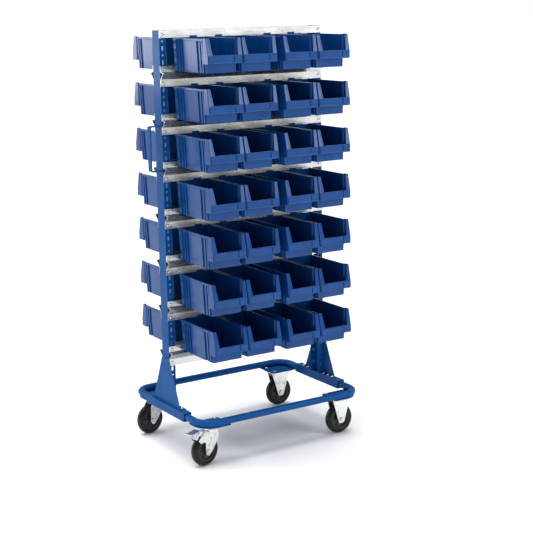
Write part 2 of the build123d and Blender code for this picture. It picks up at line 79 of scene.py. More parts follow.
def object_noise(tree, scale, detail=3.0, roughness=0.5, stretch=(1, 1, 1)):
    """Noise that is fixed to the piece, in metres; an axis with a small stretch value is drawn out."""
    place = tree.nodes.new("ShaderNodeTexCoord")
    turn = tree.nodes.new("ShaderNodeMapping")
    turn.inputs["Scale"].default_value = stretch
    noise = tree.nodes.new("ShaderNodeTexNoise")
    noise.inputs["Scale"].default_value = scale
    noise.inputs["Detail"].default_value = detail
    noise.inputs["Roughness"].default_value = roughness
    tree.links.new(place.outputs["Object"], turn.inputs["Vector"])
    tree.links.new(turn.outputs["Vector"], noise.inputs["Vector"])
    return noise.outputs["Fac"]


def ramp(tree, source, stops):
    """Colours along a value from 0 to 1."""
    node = tree.nodes.new("ShaderNodeValToRGB")
    band = node.color_ramp
    while len(band.elements) < len(stops):
        band.elements.new(0.5)
    for element, (place, colour) in zip(band.elements, stops):
        element.position = place
        element.color = (*colour, 1.0)
    tree.links.new(source, node.inputs["Fac"])
    return node.outputs["Color"]


def spread(tree, source, low, high, out_low, out_high):
    """A value moved from one range to another and kept inside it."""
    node = tree.nodes.new("ShaderNodeMapRange")
    for socket, value in (("From Min", low), ("From Max", high), ("To Min", out_low), ("To Max", out_high)):
        node.inputs[socket].default_value = value
    tree.links.new(source, node.inputs["Value"])
    return node.outputs["Result"]


def colour_by(tree, shader, source, *stops):
    """The surface's colour, read along a noise."""
    tree.links.new(ramp(tree, source, stops), shader.inputs["Base Color"])


def roughness_by(tree, shader, source, smoothest, roughest, top=0.7):
    """The surface's roughness, which follows a noise between 0.3 and top."""
    tree.links.new(spread(tree, source, 0.3, top, smoothest, roughest), shader.inputs["Roughness"])


def grain(tree, shader, source, strength, depth):
    """Fine relief on the surface, with its depth in metres."""
    bump = tree.nodes.new("ShaderNodeBump")
    bump.inputs["Strength"].default_value = strength
    bump.inputs["Distance"].default_value = depth
    tree.links.new(source, bump.inputs["Height"])
    tree.links.new(bump.outputs["Normal"], shader.inputs["Normal"])


def blue_powder_coat():
    """Deep blue powder coat with a fine orange peel and slight shade changes."""
    deep, light = (0.001, 0.060, 0.225), (0.002, 0.083, 0.295)
    finish, tree, shader = new_finish("blue_powder_coat")
    colour_by(tree, shader, object_noise(tree, 9.0, 4.0), (0.3, deep), (0.7, light))
    roughness_by(tree, shader, object_noise(tree, 60.0), 0.48, 0.6)
    grain(tree, shader, object_noise(tree, 900.0, 2.0), 0.12, 0.2 * MM)
    shader.inputs["Specular IOR Level"].default_value = 0.05
    shader.inputs["Coat Weight"].default_value = 0.15
    shader.inputs["Coat Roughness"].default_value = 0.12
    return finish


def galvanised_sheet():
    """Pale galvanised sheet with soft shade changes, finely drawn out along its length."""
    dull, bright = (0.50, 0.51, 0.51), (0.70, 0.705, 0.695)
    finish, tree, shader = new_finish("galvanised_sheet")
    colour_by(tree, shader, object_noise(tree, 26.0, 5.0, 0.6, (0.3, 1, 1)), (0.3, dull), (0.7, bright))
    roughness_by(tree, shader, object_noise(tree, 160.0, 3.0, 0.5, (0.1, 1, 1)), 0.22, 0.32)
    grain(tree, shader, object_noise(tree, 420.0, 2.0, 0.5, (0.08, 1, 1)), 0.08, 0.1 * MM)
    shader.inputs["Metallic"].default_value = 0.9
    return finish


def bin_plastic():
    """Moulded blue polypropylene with a fine grain and faint flow marks."""
    deep, light = (0.002, 0.049, 0.205), (0.004, 0.065, 0.262)
    finish, tree, shader = new_finish("bin_plastic")
    colour_by(tree, shader, object_noise(tree, 14.0, 4.0, 0.55, (1, 1, 0.4)), (0.3, deep), (0.7, light))
    roughness_by(tree, shader, object_noise(tree, 130.0), 0.15, 0.22)
    grain(tree, shader, object_noise(tree, 1500.0, 2.0), 0.04, 0.1 * MM)
    shader.inputs["Specular IOR Level"].default_value = 0.25
    return finish


def zinc_plate(name, tint, smoothest, roughest):
    """Zinc plating with fine upright brushing, mottled with duller and warmer patches."""
    dull = tuple(value * share for value, share in zip(tint, (0.68, 0.69, 0.70)))
    warm = tuple(value * share for value, share in zip(tint, (1.0, 0.97, 0.91)))
    finish, tree, shader = new_finish(name)
    patches = object_noise(tree, 75.0, 5.0, 0.6, (1, 1, 0.5))
    colour_by(tree, shader, patches, (0.36, dull), (0.50, tint), (0.72, warm))
    roughness_by(tree, shader, object_noise(tree, 300.0, 3.0, 0.5, (1, 1, 0.15)), smoothest, roughest)
    grain(tree, shader, object_noise(tree, 700.0, 2.0, 0.5, (1, 1, 0.2)), 0.08, 0.1 * MM)
    shader.inputs["Metallic"].default_value = 1.0
    return finish


def tyre_rubber():
    """Black solid rubber with slightly dusty, duller patches."""
    black, dusty = (0.003, 0.003, 0.004), (0.012, 0.0115, 0.0115)
    finish, tree, shader = new_finish("tyre_rubber")
    dust = object_noise(tree, 90.0, 5.0, 0.65)
    colour_by(tree, shader, dust, (0.4, black), (0.8, dusty))
    roughness_by(tree, shader, dust, 0.2, 0.36, 0.8)
    grain(tree, shader, object_noise(tree, 1100.0, 2.0), 0.15, 0.2 * MM)
    shader.inputs["Specular IOR Level"].default_value = 0.28
    return finish


def hub_plastic():
    """Dark moulded wheel centre with a low sheen."""
    dark, worn = (0.010, 0.010, 0.011), (0.028, 0.026, 0.025)
    finish, tree, shader = new_finish("hub_plastic")
    shade = object_noise(tree, 70.0, 3.0)
    colour_by(tree, shader, shade, (0.3, dark), (0.75, worn))
    roughness_by(tree, shader, shade, 0.28, 0.4)
    grain(tree, shader, object_noise(tree, 1300.0, 2.0), 0.12, 0.1 * MM)
    return finish


finishes = {
    "frame_blue": blue_powder_coat(),
    "rail_grey": galvanised_sheet(),
    "bin_blue": bin_plastic(),
    "zinc_castor": zinc_plate("castor_zinc", (0.78, 0.79, 0.79), 0.2, 0.38),
    "zinc_fastener": zinc_plate("fastener_zinc", (0.74, 0.735, 0.72), 0.16, 0.3),
    "wheel_hub": hub_plastic(),
    "tyre": tyre_rubber(),
}


def dress_cad_parts():
    """Gives every CAD node the finish of its material slot."""
    for part in record["subparts"]:
        mesh = nodes[part["node"]].data
        mesh.materials.clear()
        mesh.materials.append(finishes[part["material_slot"]])


# Making pieces

# An edge that bends more than SLIGHT_BEND between two faces larger than LARGE_FACE stays crisp
SLIGHT_BEND = radians(9)
LARGE_FACE = (9 * MM) ** 2


def finished(bm, name, slot, body, stands_for, sharp=30.0):
    """Turns a worked bmesh into a piece that rides on a body and stands for CAD nodes."""
    bmesh.ops.recalc_face_normals(bm, faces=bm.faces)
    bm.edges.index_update()
    bends = [e.index for e in bm.edges if len(e.link_faces) == 2 and e.calc_face_angle(0) > SLIGHT_BEND
             and min(f.calc_area() for f in e.link_faces) > LARGE_FACE]
    mesh = bpy.data.meshes.new(name)
    bm.to_mesh(mesh)
    bm.free()
    for polygon in mesh.polygons:
        polygon.use_smooth = True
    mesh.set_sharp_from_angle(angle=radians(sharp))
    for number in bends:
        mesh.edges[number].use_edge_sharp = True
    mesh.materials.append(finishes[slot])
    piece = bpy.data.objects.new(name, mesh)
    bpy.context.scene.collection.objects.link(piece)
    smooth = piece.modifiers.new("even_shading", "WEIGHTED_NORMAL")
    smooth.keep_sharp = True
    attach(piece, body)
    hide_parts(*stands_for)


def newest(bm, before):
    """The vertices that were added since the set before was taken."""
    return [v for v in bm.verts if v not in before]


def between(side, near, far):
    """Two distances from the middle, on the side of the given sign, the lower value first."""
    return sorted((side * near, side * far))


def ease(bm, geom, offset, segments, affect="EDGES"):
    """Rounds edges, or the corners of a flat outline."""
    bmesh.ops.bevel(bm, geom=list(geom), offset=offset, segments=segments, affect=affect,
                    profile=0.5, material=-1)


def add_block(bm, low, high, bevel=0.0, segments=2):
    """A closed block between two corners, with its edges rounded."""
    low, high = Vector(low), Vector(high)
    made = bmesh.ops.create_cube(bm, size=1.0)["verts"]
    bmesh.ops.scale(bm, vec=high - low, verts=made)
    bmesh.ops.translate(bm, vec=(low + high) / 2, verts=made)
    if bevel:
        ease(bm, {edge for vert in made for edge in vert.link_edges}, bevel, segments)


def leaning_block(bm, low, high, bevel, move):
    """A block whose points are then moved by a rule, so that it follows a leaning wall."""
    before = set(bm.verts)
    add_block(bm, low, high, bevel, 1)
    for vert in newest(bm, before):
        vert.co += Vector(move(vert.co))


# Bins

# A bin is a body whose sides lean outwards and a raised, wider nose with a mouth between two ears.
# It is drawn from its back wall at Y = 0 towards -Y, with its underside at Z = 0.
BIN_MIDDLE = 93 * MM
BIN_PITCH = 154 * MM
BIN_BACK_GAP = 0.3 * MM
BIN_SEAT = 57.12 * MM
BIN_TOP_GAP = 0.08 * MM
BIN_WALL = 2.5 * MM
BIN_LENGTH = 273 * MM
BODY_FRONT = 240 * MM
FOOT_HALF = 64 * MM
TOP_HALF = 70 * MM
NOSE_LIFT = 34 * MM
NOSE_HALF = 75 * MM
NOSE_SLOPE = 14 * MM
FLARE_BACK = 229 * MM
FLARE_FRONT = 235 * MM
LIP_HEIGHT = 66 * MM
EAR_FOOT = 21 * MM
EAR_TOP = 14 * MM
EAR_RISE = 2 * MM
CORNER_BEND = radians(30)
CORNER_ROUNDING = 1.8 * MM

# The bin's trims: in millimetres, a land starts and ends at its distances from the back wall, and a
# label field at its places along the front
RIM_HEIGHT = 8 * MM
RIM_WIDTH = 4.4 * MM
RIM_SINK = 0.6 * MM
RIM_DROP = 0.2 * MM
RIM_REACH = 2 * MM
BACK_BAND = 2 * MM
TRIM_ROUNDING = 0.8 * MM
SIDE_LANDS = ((9, 30), (46, 54), (66, 74), (86, 188), (206, 213), (221, 230))
LAND_OUT = 4.6 * MM
LAND_SINK = 0.8 * MM
LAND_FOOT = 1 * MM
LABEL_FIELDS = ((-71, 34.5), (39.5, 73))
LABEL_OUT = 3 * MM
LABEL_ROUNDING = 0.7 * MM
LEDGE_HALF = 73.5 * MM
LEDGE_OUT = 4 * MM
LEDGE_ROUNDING = 1.4 * MM
LEDGE_LOW, LEDGE_HIGH = 36 * MM, 40.4 * MM
LABEL_LOW, LABEL_HIGH = 40 * MM, 64.5 * MM
FRONT_SINK = 1 * MM
BEAD_ROUNDING = 1.2 * MM

# The hook at the top of the bin's back wall and the heel at its foot
HOOK_HALF = 15 * MM
HOOK_RISE = 8 * MM
HOOK_WALL = 3 * MM
HOOK_SHIFT = 20 * MM
HOOK_ROUNDING = 0.7 * MM
HEEL_HALF = 30 * MM
HEEL_DEPTH = 9 * MM
HEEL_SINK = 2 * MM
HEEL_LOW, HEEL_HIGH = 0.9 * MM, 6.9 * MM

bins_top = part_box(f"bins_front_{MIDDLE_ROW}")[1].z
rim_z = bins_top - HOOK_RISE - BIN_TOP_GAP - (rail_low.z + BIN_SEAT)
nose_top = rim_z + EAR_RISE


def side_half(z):
    """Half of the bin's width at a height: the side walls lean outwards."""
    return FOOT_HALF + (TOP_HALF - FOOT_HALF) * z / rim_z


def wall_up(bm, edges, heights):
    """Walls drawn from a ring of edges through several heights; gives back the edges of the last ring."""
    for z in heights:
        grown = bmesh.ops.extrude_edge_only(bm, edges=edges)["geom"]
        for g in grown:
            if isinstance(g, bmesh.types.BMVert):
                g.co.z = z
        edges = [g for g in grown if isinstance(g, bmesh.types.BMEdge)
                 and all(abs(v.co.z - z) < CLOSE for v in g.verts)]
    return edges


def tub_walls(bm):
    """Walls and floors of the body and the nose, whose front slopes back above the lip."""
    half = side_half(NOSE_LIFT)
    plan = [(-half, 0), (-half, -FLARE_BACK), (-NOSE_HALF, -FLARE_FRONT), (-NOSE_HALF, -BIN_LENGTH)]
    plan += [(-x, y) for x, y in reversed(plan)]
    ring = [bm.verts.new((x, y, NOSE_LIFT)) for x, y in plan]
    under = [bm.verts.new((x, -BODY_FRONT, NOSE_LIFT)) for x in (half, -half)]
    back = [bm.edges.new((ring[a], ring[b])) for a, b in ((0, 1), (6, 7), (7, 0))]
    nose = [bm.edges.new((a, b)) for a, b in zip(ring[1:6], ring[2:7])]
    body = [bm.edges.new((a, b)) for a, b in zip((ring[6], *under), (*under, ring[1]))]
    bm.faces.new(ring[1:7] + under)
    wall_up(bm, back + nose, (LIP_HEIGHT, nose_top))
    foot = wall_up(bm, back + body, (0.0,))
    bmesh.ops.contextual_create(bm, geom=foot)
    for vert in bm.verts:
        side = 1 if vert.co.x > 0 else -1
        if abs(vert.co.x) < NOSE_HALF - CLOSE:
            vert.co.z = min(vert.co.z, rim_z)
            vert.co.x = side * side_half(vert.co.z)
        elif vert.co.z > LIP_HEIGHT + CLOSE and vert.co.y < -BIN_LENGTH + CLOSE:
            vert.co.y += NOSE_SLOPE


def nose_front(bm):
    """The faces of the nose's front above its lip."""
    before_body = -BODY_FRONT - 5 * MM
    faces = []
    for face in bm.faces:
        middle = face.calc_center_median()
        if middle.y < before_body and middle.z > LIP_HEIGHT and abs(face.normal.y) > 0.5:
            faces.append(face)
    return faces


def cut_mouth(bm):
    """The mouth, cut out of the nose's front between two slanted edges."""
    bm.normal_update()
    for side in (-1, 1):
        low = Vector((side * (NOSE_HALF - EAR_FOOT), -BIN_LENGTH, LIP_HEIGHT))
        lean = Vector((side * (EAR_FOOT - EAR_TOP), NOSE_SLOPE, nose_top - LIP_HEIGHT)).normalized()
        front = nose_front(bm)
        geom = list({g for f in front for g in (*f.verts, *f.edges)}) + front
        across = Vector((1, 0, 0)) - lean * lean.x
        bmesh.ops.bisect_plane(bm, geom=geom, plane_co=low, plane_no=across, dist=CLOSE)
    bm.normal_update()
    mouth = [f for f in nose_front(bm) if abs(f.calc_center_median().x) < NOSE_HALF / 2]
    bmesh.ops.delete(bm, geom=mouth, context="FACES")


def bin_tub(bm):
    """The open tub: its corners are rounded before the wall gets its thickness."""
    tub_walls(bm)
    bmesh.ops.recalc_face_normals(bm, faces=bm.faces)
    cut_mouth(bm)
    bmesh.ops.recalc_face_normals(bm, faces=bm.faces)
    corners = [e for e in bm.edges if len(e.link_faces) == 2 and e.calc_face_angle(0) > CORNER_BEND]
    ease(bm, corners, CORNER_ROUNDING, 2)
    bmesh.ops.recalc_face_normals(bm, faces=bm.faces)
    bmesh.ops.solidify(bm, geom=bm.faces[:], thickness=BIN_WALL)


def rim_bands(bm):
    """The band under the rim, along both sides and the back."""
    low, high = rim_z - RIM_HEIGHT, rim_z - RIM_DROP
    for side in (-1, 1):
        inner, outer = between(side, TOP_HALF - RIM_SINK, TOP_HALF - RIM_SINK + RIM_WIDTH)
        add_block(bm, (inner, -FLARE_BACK - RIM_REACH, low), (outer, -BACK_BAND / 2, high), TRIM_ROUNDING)
    half = TOP_HALF - BACK_BAND
    add_block(bm, (-half, -BACK_BAND, low), (half, 0, high), TRIM_ROUNDING)


def side_lands(bm):
    """Raised lands on both side walls, which lean with them."""
    middle = side_half(rim_z / 2)
    for side in (-1, 1):
        low, high = between(side, middle - LAND_SINK, middle + LAND_OUT)
        for start, end in SIDE_LANDS:
            leaning_block(bm, (low, -end * MM, LAND_FOOT), (high, -start * MM, rim_z - RIM_HEIGHT),
                          TRIM_ROUNDING, lambda co: (side * (side_half(co.z) - middle), 0, 0))


def label_place(bm):
    """The label field and the field beside it, with a narrow slot between them, over a rounded ledge."""
    inside = -BIN_LENGTH + FRONT_SINK
    for start, end in LABEL_FIELDS:
        add_block(bm, (start * MM, -BIN_LENGTH - LABEL_OUT, LABEL_LOW), (end * MM, inside, LABEL_HIGH),
                  LABEL_ROUNDING, 1)
    add_block(bm, (-LEDGE_HALF, -BIN_LENGTH - LEDGE_OUT, LEDGE_LOW), (LEDGE_HALF, inside, LEDGE_HIGH),
              LEDGE_ROUNDING)


def mouth_beads(bm):
    """A raised bead along each slanted edge of the mouth, which ends just below the ear's top."""
    foot = NOSE_HALF - EAR_FOOT
    inner, outer = foot - 0.5 * MM, foot + 5.5 * MM
    front, behind = -BIN_LENGTH - 1.6 * MM, -BIN_LENGTH + 2.6 * MM
    run = nose_top - 1.5 * MM - LIP_HEIGHT
    for side in (-1, 1):
        low, high = between(side, inner, outer)
        leaning_block(bm, (low, front, LIP_HEIGHT), (high, behind, LIP_HEIGHT + run), BEAD_ROUNDING,
                      lambda co: (side * (EAR_FOOT - EAR_TOP) * (co.z - LIP_HEIGHT) / run,
                                  NOSE_SLOPE * (co.z - LIP_HEIGHT) / run, 0))


def lip_bead(bm):
    """A raised bead along the lip of the mouth, nearly as wide as the nose."""
    half = NOSE_HALF - 3 * MM
    front, behind = -BIN_LENGTH - 0.6 * MM, -BIN_LENGTH + 3.2 * MM
    low, high = LIP_HEIGHT - 2.6 * MM, LIP_HEIGHT + 0.6 * MM
    add_block(bm, (-half, front, low), (half, behind, high), BEAD_ROUNDING)


def hook_and_heel(bm, toward):
    """The hook on the back wall, shifted towards the bin's neighbour, and the heel at its foot."""
    shift = toward * HOOK_SHIFT
    add_block(bm, (shift - HOOK_HALF, -HOOK_WALL, rim_z - HOOK_RISE),
              (shift + HOOK_HALF, 0, rim_z + HOOK_RISE), HOOK_ROUNDING)
    add_block(bm, (-HEEL_HALF, -HEEL_SINK, HEEL_LOW), (HEEL_HALF, HEEL_DEPTH, HEEL_HIGH), TRIM_ROUNDING)


def bin_pattern(toward):
    """One whole bin as a mesh, which is copied into the rows."""
    bm = bmesh.new()
    bin_tub(bm)
    rim_bands(bm)
    side_lands(bm)
    label_place(bm)
    mouth_beads(bm)
    lip_bead(bm)
    hook_and_heel(bm, toward)
    bmesh.ops.recalc_face_normals(bm, faces=bm.faces)
    mesh = bpy.data.meshes.new("bin_pattern")
    bm.to_mesh(mesh)
    bm.free()
    return mesh


def bin_rows():
    """Four bins on every rail, front and rear, in two pairs whose hooks face each other."""
    patterns = {toward: bin_pattern(toward) for toward in (1, -1)}
    outer = BIN_MIDDLE + BIN_PITCH
    places = ((-outer, 1), (-BIN_MIDDLE, -1), (BIN_MIDDLE, 1), (outer, -1))
    for side, sign in SIDES:
        turn = Matrix.Rotation(0 if sign < 0 else pi, 4, "Z")
        for row in range(1, ROW_COUNT + 1):
            bm = bmesh.new()
            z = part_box(f"bin_rails_{row}")[0].z + BIN_SEAT
            for x, toward in places:
                before = set(bm.verts)
                bm.from_mesh(patterns[toward])
                place = Matrix.Translation((rack_middle, 0, z)) @ turn
                place = place @ Matrix.Translation((x, -RAIL_FACE - BIN_BACK_GAP, 0))
                bmesh.ops.transform(bm, matrix=place, verts=newest(bm, before))
            finished(bm, f"bins_{side}_row_{row}", "bin_blue", f"bin_row_{side}_{row}",
                     (f"bins_{side}_{row}",), 35.0)
    for mesh in patterns.values():
        bpy.data.meshes.remove(mesh)


# Wheels

# They are spun about the Y axis. Their outlines are in millimetres, as radius and half width.
CASTOR_TURN = 12.0
WHEEL_RADIUS = 62.5
HUB_HALF = 20.0
AXLE_HOLE = 6.06
WHEEL_STEPS = 72
RIB_COUNT = 6
RIB_START, RIB_END = 14 * MM, 37 * MM
RIB_HALF = 11 * MM
RIB_HALF_WALL = 1.6 * MM
RIB_ROUNDING = 0.8 * MM


def wheel_turn(place):
    """How far the axle of this wheel is turned about the upright axis."""
    return radians(CASTOR_TURN if place.endswith("left") else 0.0)


def wheel_ring(bm, half, crown=()):
    """A closed ring spun about the axle from half of its outline and the points on its middle line."""
    outline = [*half, *crown, *((radius, -y) for radius, y in reversed(half))]
    verts = [bm.verts.new((radius * MM, y * MM, 0)) for radius, y in outline]
    edges = [bm.edges.new((a, b)) for a, b in zip(verts, verts[1:] + verts[:1])]
    bmesh.ops.spin(bm, geom=verts + edges, cent=(0, 0, 0), axis=(0, 1, 0), angle=2 * pi,
                   steps=WHEEL_STEPS, use_merge=True)


def on_axle(bm, place):
    """Turns a wheel piece with its castor and moves it to its axle."""
    low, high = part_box(f"tyre_{place}")
    where = Matrix.Translation((low + high) / 2) @ Matrix.Rotation(wheel_turn(place), 4, "Z")
    bmesh.ops.transform(bm, matrix=where, verts=bm.verts[:])


def tyre(place):
    """The tyre: a bead and a raised ring on each side wall, grooved shoulders and a rounded tread."""
    bead = [(42.0, 15.5), (43.2, 16.3), (45.0, 16.6), (46.0, 15.9), (48.5, 16.2)]
    ring = [(49.2, 17.6), (51.0, 17.9), (52.6, 17.4), (53.4, 15.9)]
    shoulder = [(56.0, 14.6), (57.8, 13.6), (56.9, 12.4), (58.9, 11.4)]
    tread = [(60.2, 9.4), (59.6, 8.6), (61.2, 7.2), (61.9, 5.0)]
    bm = bmesh.new()
    wheel_ring(bm, bead + ring + shoulder + tread, [(WHEEL_RADIUS, 0.0)])
    on_axle(bm, place)
    finished(bm, f"rubber_tyre_{place}", "tyre", f"wheel_{place}", (f"tyre_{place}",), 50.0)


def wheel_centre(place):
    """The wheel centre: a boss round the axle, a dished and ribbed web, and a rim."""
    boss = [(AXLE_HOLE, HUB_HALF), (9.5, HUB_HALF), (10.2, 19.4), (13.4, 18.6), (14.4, 16.5)]
    web = [(15.6, 8.6), (18.0, 6.6), (27.0, 6.0), (33.0, 7.0), (35.6, 9.4)]
    rim = [(37.0, 14.4), (38.2, 15.4), (41.9, 15.5)]
    bm = bmesh.new()
    wheel_ring(bm, boss + web + rim)
    for step in range(RIB_COUNT):
        before = set(bm.verts)
        add_block(bm, (RIB_START, -RIB_HALF, -RIB_HALF_WALL), (RIB_END, RIB_HALF, RIB_HALF_WALL),
                  RIB_ROUNDING, 1)
        turn = Matrix.Rotation(step * 2 * pi / RIB_COUNT, 3, "Y")
        bmesh.ops.rotate(bm, cent=(0, 0, 0), matrix=turn, verts=newest(bm, before))
    on_axle(bm, place)
    finished(bm, f"wheel_centre_{place}", "wheel_hub", f"wheel_{place}", (f"wheel_hub_{place}",))


def wheels():
    """Detailed tyre and centre for each castor."""
    for place in ("front_left", "rear_left", "front_right", "rear_right"):
        tyre(place)
        wheel_centre(place)


# Castor brackets and brake

# They are drawn round the castor's upright axis. Their outlines are in millimetres: X, height and
# the rounding of the corner for a plate, radius and height for a ring.
CASTOR_X = 308 * MM
CASTOR_Y = 230 * MM
CASTOR_TOP = 160 * MM
PLATE_WALL = 4 * MM
PLATE_HALF_X = 52.5 * MM
PLATE_HALF_Y = 42.5 * MM
PLATE_CORNER = 8 * MM
PLATE_GAP = 0.02 * MM
RING_STEPS = 56
LEG_IN = 20.5 * MM
LEG_OUT = 23.5 * MM
BRIDGE_HALF_X = 21 * MM
BRIDGE_HALF_Y = 23.4 * MM
BRIDGE_LOW, BRIDGE_HIGH = 134.6 * MM, 137.6 * MM
BRIDGE_ROUNDING = 0.6 * MM

# The brake pedal turns on a rivet through the fork and has three ribs across its tread
BRAKE_PIN = (-56 * MM, 0, 130 * MM)
RIVET_RADIUS = 3.95 * MM
RIVET_HALF = 24 * MM
RIVET_HEAD = 5.9 * MM
RIVET_OUT = 25.8 * MM
TREAD_HALF = 17 * MM
CHEEK_IN, CHEEK_OUT = 16.5 * MM, 19.5 * MM
SHOE_HALF = 16.4 * MM
PEDAL_RIBS = 3
PEDAL_RIB_X, PEDAL_RIB_Z = -123.5 * MM, 148.2 * MM
PEDAL_RIB_STEP = 5.0 * MM
PEDAL_RIB_FALL = 0.9 * MM


def sheet_plate(bm, outline, y_low, y_high, edge=0.5 * MM):
    """A flat plate standing in X and Z, with its corners rounded and its edges eased."""
    before = set(bm.verts)
    verts = [bm.verts.new((x * MM, y_low, z * MM)) for x, z, _ in outline]
    bm.faces.new(verts)
    for vert, (_, _, rounding) in zip(verts, outline):
        if rounding:
            ease(bm, [vert], rounding * MM, 5, "VERTICES")
    face = [f for f in bm.faces if all(v not in before for v in f.verts)]
    grown = bmesh.ops.extrude_face_region(bm, geom=face)["geom"]
    far = [g for g in grown if isinstance(g, bmesh.types.BMVert)]
    bmesh.ops.translate(bm, vec=(0, y_high - y_low, 0), verts=far)
    rims = {e for v in newest(bm, before) for e in v.link_edges
            if abs(e.verts[0].co.y - e.verts[1].co.y) < CLOSE and len(e.link_faces) == 2}
    ease(bm, rims, edge, 2)


def spun_ring(bm, outline):
    """A closed ring spun about the upright axis from its half outline."""
    verts = [bm.verts.new((radius * MM, 0, z * MM)) for radius, z in outline]
    edges = [bm.edges.new((a, b)) for a, b in zip(verts, verts[1:] + verts[:1])]
    bmesh.ops.spin(bm, geom=verts + edges, cent=(0, 0, 0), axis=(0, 0, 1), angle=2 * pi,
                   steps=RING_STEPS, use_merge=True)


def to_corner(bm, end, side, turn=0.0):
    """Turns a castor piece about the castor's own upright axis and moves it to its corner."""
    bmesh.ops.rotate(bm, cent=(0, 0, 0), matrix=Matrix.Rotation(radians(turn), 3, "Z"), verts=bm.verts[:])
    bmesh.ops.translate(bm, vec=(rack_middle + end * CASTOR_X, side * CASTOR_Y, 0), verts=bm.verts[:])


def top_plate(bm):
    """Rounded top plate of a castor, a hair thinner than the plate that it stands for."""
    before = set(bm.verts)
    add_block(bm, (-PLATE_HALF_X, -PLATE_HALF_Y, CASTOR_TOP - PLATE_WALL + PLATE_GAP),
              (PLATE_HALF_X, PLATE_HALF_Y, CASTOR_TOP - PLATE_GAP))
    upright = {e for v in newest(bm, before) for e in v.link_edges
               if abs(e.verts[0].co.z - e.verts[1].co.z) > PLATE_WALL / 2}
    ease(bm, upright, PLATE_CORNER, 5)


def fork_leg(braked):
    """Outline of a swept fork leg; the braked one has an arm that carries the pedal."""
    leg = [(20.2, 137.5, 0), (20.2, 105.6, 16), (-20.2, 51.2, 22), (-31.0, 43.2, 6), (-40.3, 43.2, 7),
           (-47.9, 56.0, 7), (-47.9, 104.0, 9)]
    if braked:
        leg += [(-74.2, 100.0, 6), (-83.9, 113.6, 5), (-57.6, 142.4, 9)]
    else:
        leg += [(-45.0, 124.8, 12)]
    return leg + [(-29.9, 137.5, 0)]


def swivel_castor(name, side, braked):
    """Top plate with its upper race, and a fork: the crown, its bridge and two swept legs."""
    race = [(6.1, 151.5), (27.0, 151.5), (30.5, 152.4), (32.0, 154.2), (32.0, 156.4), (6.1, 156.4)]
    crown = [(6.06, 150.9), (24.0, 150.9), (29.5, 149.6), (33.6, 146.6), (34.9, 142.6), (34.2, 138.6),
             (32.5, 137.4), (6.06, 137.4)]
    bm = bmesh.new()
    top_plate(bm)
    spun_ring(bm, race)
    to_corner(bm, -1, side)
    finished(bm, f"swivel_top_{name}", "zinc_castor", "frame", (f"swivel_plate_{name}",))
    bm = bmesh.new()
    spun_ring(bm, crown)
    add_block(bm, (-BRIDGE_HALF_X, -BRIDGE_HALF_Y, BRIDGE_LOW), (BRIDGE_HALF_X, BRIDGE_HALF_Y, BRIDGE_HIGH),
              BRIDGE_ROUNDING)
    for leg_side in (-1, 1):
        sheet_plate(bm, fork_leg(braked), *between(leg_side, LEG_IN, LEG_OUT))
    to_corner(bm, -1, side, CASTOR_TURN)
    finished(bm, f"fork_{name}", "zinc_castor", f"fork_{name}", (f"swivel_fork_{name}",))


def fixed_castor(name, side):
    """Top plate with two wedge-shaped legs folded down from it."""
    half = [(46.2, 156.1, 0), (42.0, 148.0, 5), (16.8, 59.2, 14), (10.5, 46.4, 6)]
    leg = [(-x, z, rounding) for x, z, rounding in half] + half[::-1]
    bm = bmesh.new()
    top_plate(bm)
    for leg_side in (-1, 1):
        sheet_plate(bm, leg, *between(leg_side, LEG_IN, LEG_OUT))
    to_corner(bm, 1, side)
    finished(bm, f"fixed_bracket_piece_{name}", "zinc_castor", "frame", (f"fixed_bracket_{name}",))


def pedal_ribs(bm):
    """Ribs across the tread, each a little lower than the one before it."""
    half_wall, sunk, proud = 1.1 * MM, 1.0 * MM, 1.2 * MM
    half = TREAD_HALF - 2 * MM
    for number in range(PEDAL_RIBS):
        x = PEDAL_RIB_X + number * PEDAL_RIB_STEP
        z = PEDAL_RIB_Z - number * PEDAL_RIB_FALL
        add_block(bm, (x - half_wall, -half, z - sunk), (x + half_wall, half, z + proud), 0.5 * MM)


def brake_pedal():
    """Brake pedal with a ribbed tread, two cheeks and a shoe over the tyre."""
    tread = [(-127.8, 148.9, 0), (-106.4, 145.1, 0), (-72.0, 152.0, 0), (-54.0, 143.1, 0),
             (-54.0, 140.0, 0), (-72.0, 148.9, 0), (-106.4, 142.0, 0), (-127.8, 145.9, 0)]
    cheek = [(-72.0, 150.3, 3), (-54.0, 141.7, 5), (-46.9, 129.7, 6), (-52.3, 122.5, 6),
             (-63.1, 124.1, 5), (-82.7, 138.5, 4)]
    shoe = [(-82.7, 138.5, 2), (-72.1, 150.2, 2), (-68.5, 148.7, 2), (-77.8, 120.1, 3),
            (-86.3, 115.3, 3), (-89.9, 119.3, 2)]
    bm = bmesh.new()
    sheet_plate(bm, tread, -TREAD_HALF, TREAD_HALF, 0.7 * MM)
    pedal_ribs(bm)
    for side in (-1, 1):
        sheet_plate(bm, cheek, *between(side, CHEEK_IN, CHEEK_OUT))
    sheet_plate(bm, shoe, -SHOE_HALF, SHOE_HALF)
    to_corner(bm, -1, -1, CASTOR_TURN)
    finished(bm, "brake_pedal_piece", "zinc_castor", "brake_pedal", ("brake_pedal",))


def brake_rivet():
    """The rivet through the fork that the pedal turns on."""
    bm = bmesh.new()
    rod(bm, RIVET_RADIUS, -RIVET_HALF, RIVET_HALF, 20)
    for side in (-1, 1):
        rod(bm, RIVET_HEAD, *between(side, LEG_OUT, RIVET_OUT), ROUND_SIDES)
    set_in(bm, set(), BRAKE_PIN, (0, 1, 0))
    to_corner(bm, -1, -1, CASTOR_TURN)
    finished(bm, "brake_rivet", "zinc_fastener", "fork_front_left", ("brake_pin",))


